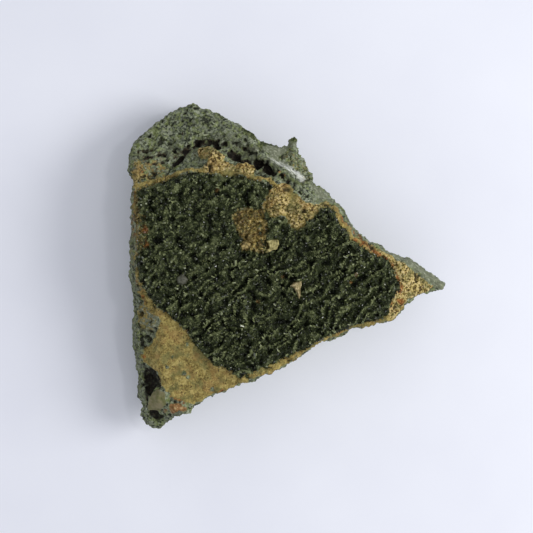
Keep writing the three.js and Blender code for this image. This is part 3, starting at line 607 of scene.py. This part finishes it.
def rock_places(points, normals):
    """Where each kind of rock and each mark is, from 0 to 1 at each point."""
    xy = points[:, :2]
    at = SimpleNamespace()
    at.up = fade(0.1, 0.45, normals[:, 2])
    at.under = fade(-0.7, -0.95, normals[:, 2])
    at.side = (1 - at.up) * (1 - at.under)

    at.ochre_face = region(points, OCHRE_FACE) * at.up
    at.patch = region(points, OCHRE_PATCH) * at.up
    at.flank = region(points, FLANK, 1.2) * at.up
    at.spur_slab = region(points, SPUR_SLAB, 0.6) * at.up
    at.fragments = any_region(points, OCHRE_FRAGMENTS, 0.4, 0.6) * at.up
    at.shoulder = region(points, SHOULDER, 1.0) * at.up
    at.pebble_face = region(points, PEBBLE_FACE, 0.3, 0.3) * at.up
    at.pink = region(points, PINK_FACET, 0.6, 0.6) * at.up
    at.ledge_side = region(points, FLANK_LEDGE) * fade(-0.2, 0.3, normals[:, 2])
    at.spur = region(points, SPUR_OCHRE) * at.up * (1 - 0.8 * at.spur_slab)
    at.band = region(points, PITTED_BAND, 1.2, 1) * at.up * (1 - at.fragments)

    at.ledge = line_up(xy, LEDGE, 0.42 + 0.3 * noise(points, 2.8, 95)) * at.up
    at.ledge *= fade(-0.7, 0.4, rough(points, 3.5, 90))
    at.groove = line_up(xy, CRACK, 0.35) * at.up
    at.gap = line_up(xy, GAP, 0.75) * at.up
    at.vein = line_up(xy, VEIN, 0.9) * at.up

    at.eaten = fade(-0.3, 0.15, rough(points, 1.5, 610))
    hollows = [*CRACK_HOLLOWS, BACK_HOLLOW, SHOULDER_HOLLOW]
    at.hollows = any_region(points, hollows, 1.4, 1.1) * at.up * at.eaten
    at.maroon = any_region(points, [MAROON_HOLLOW, TOE_HOLLOW], 0.7, 0.7) * at.up
    at.holes = at.band * fade(0.05, 0.3, noise(points, 1.5, 540))

    even = 0.75 * at.ochre_face + 0.88 * at.flank + 0.85 * at.pebble_face + 0.6 * at.pink + 0.5 * at.under
    even += 0.4 * at.spur_slab
    at.even = np.clip(even * (1 - 0.8 * at.ledge_side), 0, 0.9)
    at.pits = fade(0.3, 0.6, noise(points, 1.5, 500)) * mix(1, 0.4, at.even)
    return at


def rock_relief(points, at):
    """How far each point stands out from the solid, less where the rock is even and low down."""
    grain = grains(points, 1.15, 200)
    small = grains(points, 0.7, 300)
    worn = rough(points, 2.4, 400)
    relief = 0.42 * rough(points, 6.5, 100) * (1 - 0.6 * at.even) + at.side * 0.55 * rough(points, 3.4, 120)
    relief += (1 - at.even) * (0.6 * (grain - 0.5) + 0.35 * (small - 0.5) + 0.35 * worn)
    relief += at.even * (0.14 * worn + 0.12 * (small - 0.5))
    relief -= at.pits * mix(0.9, 0.3, at.even)
    relief += 0.85 * at.fragments * (0.7 + 0.5 * small) + 0.55 * at.ledge
    relief += (0.8 * at.patch + 0.6 * at.shoulder) * (grain - 0.4) + 1.1 * at.ledge_side * (grain - 0.35)
    relief -= at.holes
    relief -= 1.5 * at.hollows * (0.3 + grain) + 1.5 * at.maroon * (0.3 + grain) + 0.9 * at.groove
    relief -= 1.3 * at.gap * (0.4 + 0.6 * at.eaten)
    high = points[:, 2]
    relief = mix(relief, np.clip(relief, -0.25, 0.2), fade(6, 1, high))
    return relief * (1 - 0.9 * fade(0.5, 0, high))


def rock_fields(points, normals, at, relief):
    """How much of each colour and surface the rock's material shows at each point, painted shade among them.
    """
    xy = points[:, :2]
    high = points[:, 2]
    spots = noise(points, 2.6, 640)
    seams = np.maximum.reduce([line_up(xy, line, 0.55) for line in RUST_SEAMS]) * at.up
    rust_spots = spotted(xy, RUST_SPOTS, 0.8) * at.up
    druse_rim = fade(1.7, 0.5, np.abs(depth_in(xy, DRUSE))) * at.up
    right = fade(8, 13, xy[:, 0])
    left_wall = fade(-36, -38.5, xy[:, 0])
    above = fade(8, 16, high)
    low_side = fade(17, 9, high) * at.side
    stain = fade(0.1, 0.8, rough(points, 8, 620) + fade(10, 24, high) - 0.5)
    block_edge = fade(3.5, 0.5, -0.73 * (xy[:, 0] + 20) - 0.68 * (xy[:, 1] - 41))
    block_edge = block_edge * region(points, BLOCK) * at.up
    fields = {
        "ochre": at.ochre_face + 0.85 * at.patch + 0.7 * at.fragments + 0.6 * at.ledge + 0.8 * at.spur
        + mix(0.3, 0.9, right) * druse_rim
        + 0.7 * region(points, FRONT_STRIP, 0.6) * fade(0, 0.35, normals[:, 2])
        + 0.6 * region(points, RIM_STRIP, 0.5) * at.up - 0.75 * spotted(xy, GREY_SPOTS, 0.9)
        + 0.4 * region(points, BACK_LEFT_OCHRE, 1.5, 1.4) * above
        + 0.3 * at.ledge_side + 0.42 * stain * at.side + 0.2 * left_wall + 0.42 * at.shoulder + 0.06,
        "rust": 0.5 * seams + 0.6 * rust_spots + 0.3 * right * druse_rim * fade(-0.3, 0.4, spots)
        + 0.4 * region(points, LEFT_RUST, 1.2, 1.2) * above
        + 0.3 * at.spur * fade(-0.1, 0.5, spots) + 0.3 * at.patch * fade(0.1, 0.5, spots)
        + 0.36 * at.ochre_face * fade(1.2, 0, depth_in(xy, OCHRE_FACE) + spots),
        "pale": 0.78 * at.flank * (1 - 0.75 * at.ledge_side) + 0.6 * at.spur_slab + 0.9 * at.shoulder
        + 0.2 * region(points, TOE) + 0.2 * low_side + 0.4 * block_edge,
        "mossy": 0.8 * any_region(points, MOSSY_KNOBS, 0.5, 0.6) + 0.35 * at.ledge_side,
        "vein": at.vein * mix(0.3, 0.75, fade(-6, 1.5, points[:, 0])) + 0.2 * at.shoulder,
        "pebble": at.pebble_face,
        "pink": 0.8 * at.pink,
        # Painted shade in the hollows, cracks, holes, pitted band and gap.
        "hollow_shade": 0.5 * at.hollows + 0.6 * at.maroon + 0.45 * at.groove
        + 0.24 * at.band + 0.5 * at.holes + 0.6 * at.gap * (0.4 + 0.6 * at.eaten),
        "porous": at.patch * (1 - 0.8 * spotted(xy, [SMOOTH_LUMP], 2.4)) + 0.9 * at.spur + 0.75 * at.fragments
        + 0.5 * at.ledge_side + 0.4 * at.shoulder + 0.3 * at.ochre_face
        + 0.5 * region(points, BLOCK, 1.5) * (1 - at.flank) + 0.35 * at.side * (1 - left_wall),
        # Painted shade: the pits, the deepest relief, the left wall away from the light, and the toe.
        "pit_shade": at.pits * (1 - 0.9 * at.even) + fade(-0.5, -1.3, relief) + 0.3 * left_wall
        + 0.3 * region(points, TOE),
    }
    return {name: np.clip(values, 0, 1) for name, values in fields.items()}


def build_rock():
    points, normals, faces = fine_copy("rock_matrix", ROCK_GRAIN, 3)
    sharp = fade(7, 4, points[:, 2]) + spotted(points[:, :2], [PINK_PEAK], 3)
    points = evened(points, faces, np.clip(sharp, 0, 1), 45)
    at = rock_places(points, normals)
    relief = rock_relief(points, at)
    placed = points + normals * relief[:, None]
    placed[:, 0] += SPUR_TIP * fade(34, 40.5, points[:, 0])
    placed[:, 2] = np.maximum(placed[:, 2], 0)
    fields = rock_fields(points, normals, at, relief)
    add_piece("rock", placed, faces, rock_material(), ["rock_matrix"], fields, smooth=True)


class Crust:
    """The crust of the druse: its height at any place, and what its surface is like there."""

    def __init__(self):
        edge = np.array(DRUSE)
        margin = 2
        low, high = edge.min(0) - margin, edge.max(0) + margin
        self.xs = np.arange(low[0], high[0], CRUST_GRAIN)
        self.ys = np.arange(low[1], high[1], CRUST_GRAIN)
        self.seat = seat_under(self.xs, self.ys)

    def seat_at(self, xy):
        """The rock's height between the grid's places."""
        column = np.clip((xy[:, 0] - self.xs[0]) / CRUST_GRAIN, 0, len(self.xs) - 2)
        row = np.clip((xy[:, 1] - self.ys[0]) / CRUST_GRAIN, 0, len(self.ys) - 2)
        i, j = row.astype(int), column.astype(int)
        v, u = row - i, column - j
        near = mix(self.seat[i, j], self.seat[i, j + 1], u)
        return mix(near, mix(self.seat[i + 1, j], self.seat[i + 1, j + 1], u), v)

    def carried(self, xy):
        """Whether the rock's upper face reaches at least a little beyond a place on every side."""
        reach, drop, lowest = 0.5, 1.6, 8
        around = [self.seat_at(xy + step) for step in ((reach, 0), (-reach, 0), (0, reach), (0, -reach))]
        return np.minimum.reduce(around) > np.maximum(self.seat_at(xy) - drop, lowest)

    def depth(self, xy):
        """Distance inside the druse's ragged edge, which comes nearer the rock's edge in front."""
        in_front = fade(2, -6, xy[:, 1] - 0.45 * xy[:, 0] + 6)
        return depth_in(xy, DRUSE) + 0.45 * in_front + 0.5 * rough(level(xy), 2.6, 700)

    def run(self, xy):
        """Places along and across the run of the ridges, which lead up to the right, waving."""
        flat = level(xy)
        waved = xy + np.column_stack([noise(flat, 6, 710), noise(flat, 6, 720)]) * 2.4
        waved += np.column_stack([noise(flat, 1.9, 715), noise(flat, 1.9, 725)]) * 0.7
        angle = math.radians(RIDGE_RUN)
        along = waved[:, 0] * math.cos(angle) + waved[:, 1] * math.sin(angle)
        return along, waved[:, 1] * math.cos(angle) - waved[:, 0] * math.sin(angle)

    def steps(self, xy):
        """Where a place is on its ridge: 0 at the foot of the long side, 1 on the crest, 0 below it."""
        along, across = self.run(xy)
        bend = 1.6 * noise(level(np.column_stack([along / 2.4, across])), 3.2, 730)
        part = (across + bend) / RIDGE_SPACING % 1
        return np.where(part < LONG_SIDE, part / LONG_SIDE, (1 - part) / (1 - LONG_SIDE))

    def back_left(self, xy):
        """1 at the back left, where the ridges run every way."""
        return fade(-4, 8, xy[:, 1] - 0.55 * xy[:, 0] - 8)

    def strength(self, xy):
        """How marked the long ridges are: they break off here and there."""
        return fade(-0.7, 0.3, noise(level(xy), 3.4, 750)) * mix(1, 0.4, self.back_left(xy))

    def ridges(self, xy):
        """1 along the crests."""
        return fade(0.74, 0.98, self.steps(xy)) * self.strength(xy)

    def net(self, xy):
        """1 along the smaller ridges between them, which run every way."""
        along, across = self.run(xy)
        fine = np.exp(-((noise(level(np.column_stack([along / 1.3, across])), 1.4, 740) / 0.2) ** 2))
        wide = np.exp(-((noise(level(np.column_stack([along, across])), 2.6, 745) / 0.16) ** 2))
        return np.maximum(fine, 1.7 * wide * self.back_left(xy))

    def gaps(self, xy):
        """1 in the gaps between the ridges, which are sunk and painted dark as shade."""
        return fade(0.0, 0.5, noise(level(xy), 1.9, 760)) * (1 - self.ridges(xy))

    def bare(self, xy):
        """1 where the crust carries no crystals."""
        flat = level(xy)
        lumps = any_region(flat, [outline for _, outline, *_ in LUMPS], 0.2, 0.1)
        spots = 0.8 * region(flat, BARE_SPOT, 0.8), 0.6 * region(flat, CAP_SPOT, 0.8)
        return np.maximum.reduce([*spots, lumps])

    def height(self, xy):
        flat = level(xy)
        rise = CRUST_THICK - 0.4 + RIDGE_HIGH * self.steps(xy) ** 1.5 * self.strength(xy)
        rise += SMALL_RIDGE_HIGH * self.net(xy)
        rise += 0.5 * noise(flat, 4.2, 770) + 0.25 * rough(flat, 0.9, 780)
        rise -= self.gaps(xy) + 0.6 * self.bare(xy)
        return self.seat_at(xy) + mix(-EDGE_SUNK, rise, fade(-0.2, 1.3, self.depth(xy)))

    def slope(self, xy):
        """How much the crust rises for each mm along x and y."""
        reach = 0.15
        ahead = self.height(xy + (reach, 0)) - self.height(xy - (reach, 0))
        aside = self.height(xy + (0, reach)) - self.height(xy - (0, reach))
        return np.column_stack([ahead, aside]) / (2 * reach)

    def fields(self, xy, tint):
        """tint is a draw from 0 to 1 for each place, which sets how light it is."""
        flat = level(xy)
        # lit: each crystal's own random tone, made lighter on the crests and up each ridge's gentle side,
        # which faces the light (partly their dusty colour, partly painted light), and darker in the gaps and
        # at the foot of the ridges as painted shade.
        crest = 0.54 * self.ridges(xy) + 0.26 * self.net(xy)
        lit = 0.13 + 0.72 * tint**2.3 + crest * mix(0.35, 1, tint) + 0.15 * self.steps(xy)
        lit += 0.1 * noise(flat, 5, 795)
        lit *= (1 - 0.8 * self.gaps(xy)) * mix(0.7, 1, fade(0, 0.3, self.steps(xy)))
        fields = {
            "lit": lit,
            "ochre": 0.72 * self.bare(xy) + 0.5 * line_up(xy, LEDGE, 0.8) + 0.3 * fade(1.2, 0, self.depth(xy))
            + 0.16 * fade(0.2, 0.6, noise(flat, 6, 790)) + 0.4 * region(flat, LEFT_RUST, 1.2, 1.2),
            "rust": 0.5 * spotted(xy, RUST_IN_DRUSE, 0.9) + 0.4 * self.bare(xy)
            + 0.27 * region(flat, LEFT_RUST, 1.2, 1.2),
        }
        return {name: np.clip(values, 0, 1) for name, values in fields.items()}


def slab(xs, ys, inside, top, bottom):
    """A closed slab over the part of a grid where inside holds, its faces at the heights top and bottom."""
    shaken = 0.35  # how far the points are moved, as a share of their spacing
    grid = np.stack(np.meshgrid(xs, ys), axis=-1).reshape(-1, 2)
    uneven = np.column_stack([hashed(*wholes(grid), seed) - 0.5 for seed in (801, 802)])
    grid = grid + shaken * (xs[1] - xs[0]) * uneven
    kept = inside(grid)
    index = np.arange(len(grid)).reshape(len(ys), len(xs))
    cells = np.stack([index[:-1, :-1], index[:-1, 1:], index[1:, 1:], index[1:, :-1]], axis=-1).reshape(-1, 4)
    cells = cells[kept[cells].all(axis=1)]
    used, cells = np.unique(cells, return_inverse=True)
    cells = cells.reshape(-1, 4)
    xy = grid[used]
    count = len(xy)
    edges = np.concatenate([cells[:, [i, (i + 1) % 4]] for i in range(4)])
    backward = {(b, a) for a, b in edges.tolist()}
    rim = [(a, b) for a, b in edges.tolist() if (a, b) not in backward]
    skirt = np.array([(b, a, a + count, b + count) for a, b in rim])
    high = top(xy)
    low = np.minimum(bottom(xy), high - 0.1)
    points = np.concatenate([np.column_stack([xy, high]), np.column_stack([xy, low])])
    return points, np.concatenate([cells, cells[:, ::-1] + count, skirt])


def build_crust(crust):
    """The body that the crystals grow from: a thin closed slab, its edges sunk in the rock."""
    def inside(xy):
        return (crust.depth(xy) > -0.35) & crust.carried(xy)

    def under(xy):
        return crust.seat_at(xy) - CRUST_SUNK

    points, faces = slab(crust.xs, crust.ys, inside, crust.height, under)
    fields = crust.fields(points[:, :2], 0.5 * np.ones(len(points)))
    material = druse_material("epidote_crust", 0.5, 0.12, True)
    add_piece("crust", points, faces, material, ["epidote_druse"], fields, smooth=True)


def wholes(xy):
    """Whole numbers that tell the points of a grid apart, for hashed."""
    finest = 0.05
    cell = np.round(xy / finest).astype(np.int64)
    return cell[:, 0], cell[:, 1], np.zeros(len(xy), np.int64)


def scattered(crust, spacing, seed):
    """Places over the druse about spacing apart, fewer where it is bare, and the draws to go on with."""
    margin = 0.1
    bare_share = 0.25
    draw = np.random.default_rng(seed)
    edge = np.array(DRUSE)
    low, high = edge.min(0) - 1, edge.max(0) + 1
    xs, ys = np.arange(low[0], high[0], spacing), np.arange(low[1], high[1], spacing)
    xy = np.stack(np.meshgrid(xs, ys), axis=-1).reshape(-1, 2)
    xy = xy + spacing * (draw.random(xy.shape) - 0.5) * 1.3
    xy = xy[(crust.depth(xy) > margin) & crust.carried(xy)]
    return xy[draw.random(len(xy)) > (1 - bare_share) * crust.bare(xy)], draw


def sides_of(axes, spin):
    """Two directions square to each axis and to each other."""
    helper = np.where(np.abs(axes[:, 2:3]) < 0.9, [[0.0, 0.0, 1.0]], [[1.0, 0.0, 0.0]])
    across = np.cross(axes, helper)
    across /= np.linalg.norm(across, axis=1, keepdims=True)
    other = np.cross(axes, across)
    turned = across * np.cos(spin)[:, None] + other * np.sin(spin)[:, None]
    return turned, np.cross(axes, turned)


def prisms(bases, axes, wide, thick, long, spin):
    """Crystals: closed six-sided prisms along their axes that end in a slanting roof."""
    sides = 6
    skew, foot = 0.25, 0.9  # how far the section leans, and how wide the foot is
    roof, tilt = 0.55, 0.2  # how low the roof starts under the tip, and how unevenly, by the thickness
    turned, beside = sides_of(axes, spin)
    angles = 2 * math.pi * (np.arange(sides) + 0.5) / sides
    ring = [
        turned * (wide / 2 * (math.cos(a) + skew * math.sin(a)))[:, None]
        + beside * (thick / 2 * math.sin(a))[:, None]
        for a in angles
    ]
    rows = [bases + part * foot for part in ring]
    rows += [
        bases + part + axes * (long - thick * (roof + tilt * math.cos(a)))[:, None]
        for part, a in zip(ring, angles)
    ]

    # The two ends of the roof's ridge.
    right, left = 2 * sides, 2 * sides + 1
    rows.append(bases + axes * long[:, None] + turned * (wide * 0.16)[:, None])
    rows.append(bases + axes * (long - thick * 0.18)[:, None] - turned * (wide * 0.2)[:, None])

    faces = [(0, i + 1, i) for i in range(1, sides - 1)]
    for i in range(sides):
        j = (i + 1) % sides
        faces += [(i, j, sides + j), (i, sides + j, sides + i)]
        peak = [right if math.cos(angles[n]) > 0 else left for n in (i, j)]
        faces.append((sides + i, sides + j, peak[0]))
        if peak[0] != peak[1]:
            faces.append((sides + j, peak[1], peak[0]))
    return rows, faces


def blades(bases, axes, wide, thick, long, spin):
    """The finest crystals: closed flat blades that narrow to a slanting ridge."""
    turned, beside = sides_of(axes, spin)
    half_wide, half_thick = (wide / 2)[:, None], (thick / 2)[:, None]
    rows = [
        bases + turned * half_wide * u + beside * half_thick * v
        for u, v in ((1, 1), (-1, 1), (-1, -1), (1, -1))
    ]
    rows.append(bases + axes * long[:, None] + turned * half_wide * 0.5)
    rows.append(bases + axes * long[:, None] * 0.86 - turned * half_wide * 0.6)
    return rows, [(0, 2, 1), (0, 3, 2), (0, 1, 5), (0, 5, 4), (2, 3, 4), (2, 4, 5), (3, 0, 4), (1, 2, 5)]


def build_crystals(crust, name, shape, spacing, seed, wide, long, shine):
    """Crystals of one size all over the druse, in sheaves that stand out from its ridges."""
    xy, draw = scattered(crust, spacing, seed)
    count = len(xy)
    flat = level(xy)
    lean = np.column_stack([noise(flat, 2.2, seed + 1), noise(flat, 2.2, seed + 2)]) * 0.8
    lean -= 0.55 * np.clip(crust.slope(xy), -2, 2)
    spread = 0.5
    axes = np.column_stack([lean + draw.normal(0, spread, (count, 2)), np.ones(count)])
    axes /= np.linalg.norm(axes, axis=1, keepdims=True)
    wide = mix(*wide, draw.random(count) ** 1.5)
    long = mix(*long, draw.random(count) ** 1.3) * (0.7 + 0.5 * crust.ridges(xy))
    bases = np.column_stack([xy, crust.height(xy)]) - axes * CRYSTAL_SUNK
    thick = wide * mix(0.55, 0.9, draw.random(count))
    turn = draw.random(count) * math.pi
    rows, one = shape(bases, axes, wide, thick, long + CRYSTAL_SUNK, turn)
    each = len(rows)
    points = np.stack(rows, axis=1).reshape(-1, 3)
    faces = (np.array(one)[None] + np.arange(count)[:, None, None] * each).reshape(-1, 3)
    fields = crust.fields(xy, draw.random(count))
    fields = {field: np.repeat(values, each) for field, values in fields.items()}
    material = druse_material(name, 0.1, shine, False)
    add_piece(name, points, faces, material, ["epidote_druse"], fields)


def build_lump(crust, name, outline, high, rounded, colours, seed):
    """A lump of another mineral held in the crust."""
    spacing = 0.12
    corners = np.array(outline)
    low, top = corners.min(0) - 0.5, corners.max(0) + 0.5
    xs, ys = np.arange(low[0], top[0], spacing), np.arange(low[1], top[1], spacing)

    def depth(xy):
        return depth_in(xy, outline) + 0.16 * rough(level(xy), 0.9, seed)

    def above(xy):
        inward = np.clip(depth(xy) / rounded, 0, 1)
        rise = high * np.sqrt(1 - (1 - inward) ** 2) + 0.25 * rough(level(xy), 0.8, seed + 40)
        return crust.seat_at(xy) + CRUST_THICK - 0.3 + rise

    points, faces = slab(xs, ys, lambda xy: depth(xy) > 0, above, lambda xy: crust.seat_at(xy) + 0.2)
    material = mineral_material(name, colours)
    add_piece(name, points, faces, material, ["epidote_druse"], smooth=True)


def build_floor():
    """A plain pale surface, its size in metres."""
    s = Shader("floor")
    colour = s.ramp(s.noise(60, 3), FLOOR, 0.35, 0.65)
    material = s.finish(colour, 0.8, s.noise(1.2, 2), 0.01)
    half = 3.0
    mesh = bpy.data.meshes.new("floor")
    corners = [(-half, -half, 0), (half, -half, 0), (half, half, 0), (-half, half, 0)]
    mesh.from_pydata(corners, [], [(0, 1, 2, 3)])
    mesh.materials.append(material)
    floor = bpy.data.objects.new("floor", mesh)
    bpy.context.scene.collection.objects.link(floor)


def add_light(name, place, size, power, colour):
    """A round light that shines at the frame's origin. Its place and size are in metres."""
    data = bpy.data.lights.new(name, "AREA")
    data.shape = "DISK"
    data.size = size
    data.energy = power
    data.color = colour
    light = bpy.data.objects.new(name, data)
    light.location = place
    light.rotation_euler = (-Vector(place)).to_track_quat("-Z", "Y").to_euler()
    bpy.context.scene.collection.objects.link(light)


def add_lights():
    """Soft daylight from the right, and an even pale room around it."""
    world = bpy.data.worlds.new("room")
    world.use_nodes = True
    background = world.node_tree.nodes["Background"]
    background.inputs["Color"].default_value = (0.93, 0.95, 1.0, 1)
    background.inputs["Strength"].default_value = 0.6
    bpy.context.scene.world = world
    add_light("window", (0.52, 0.02, 0.4), 0.38, 2.4, (1.0, 0.99, 0.97))
    add_light("glint", (0.2, 0.05, 0.6), 0.05, 0.22, (1.0, 1.0, 1.0))


def add_camera():
    """Looks straight down, as the photograph does."""
    lens = bpy.data.cameras.new("camera")
    lens.lens = 200
    lens.sensor_width = 36
    lens.clip_end = 10
    distance = PHOTO_WIDE * lens.lens / lens.sensor_width
    camera = bpy.data.objects.new("camera", lens)
    camera.location = (PHOTO_MIDDLE[0] * MM, PHOTO_MIDDLE[1] * MM, (OUTLINE_HIGH + distance) * MM)
    bpy.context.scene.collection.objects.link(camera)
    bpy.context.scene.camera = camera


add_camera()
add_lights()
build_floor()
build_rock()
crust = Crust()
build_crust(crust)
build_crystals(crust, "crystals_large", prisms, 1.9, 31, wide=(0.45, 0.75), long=(0.7, 1.5), shine=0.8)
build_crystals(crust, "crystals_middle", prisms, 0.95, 32, wide=(0.3, 0.5), long=(0.4, 1.1), shine=0.5)
build_crystals(crust, "crystals_small", blades, 0.45, 33, wide=(0.28, 0.46), long=(0.3, 0.8), shine=0.25)
build_crystals(crust, "crystals_fine", blades, 0.34, 34, wide=(0.18, 0.32), long=(0.2, 0.6), shine=0.15)
for seed, lump in enumerate(LUMPS, start=41):
    build_lump(crust, *lump, seed)

bpy.context.scene.view_settings.view_transform = "Standard"
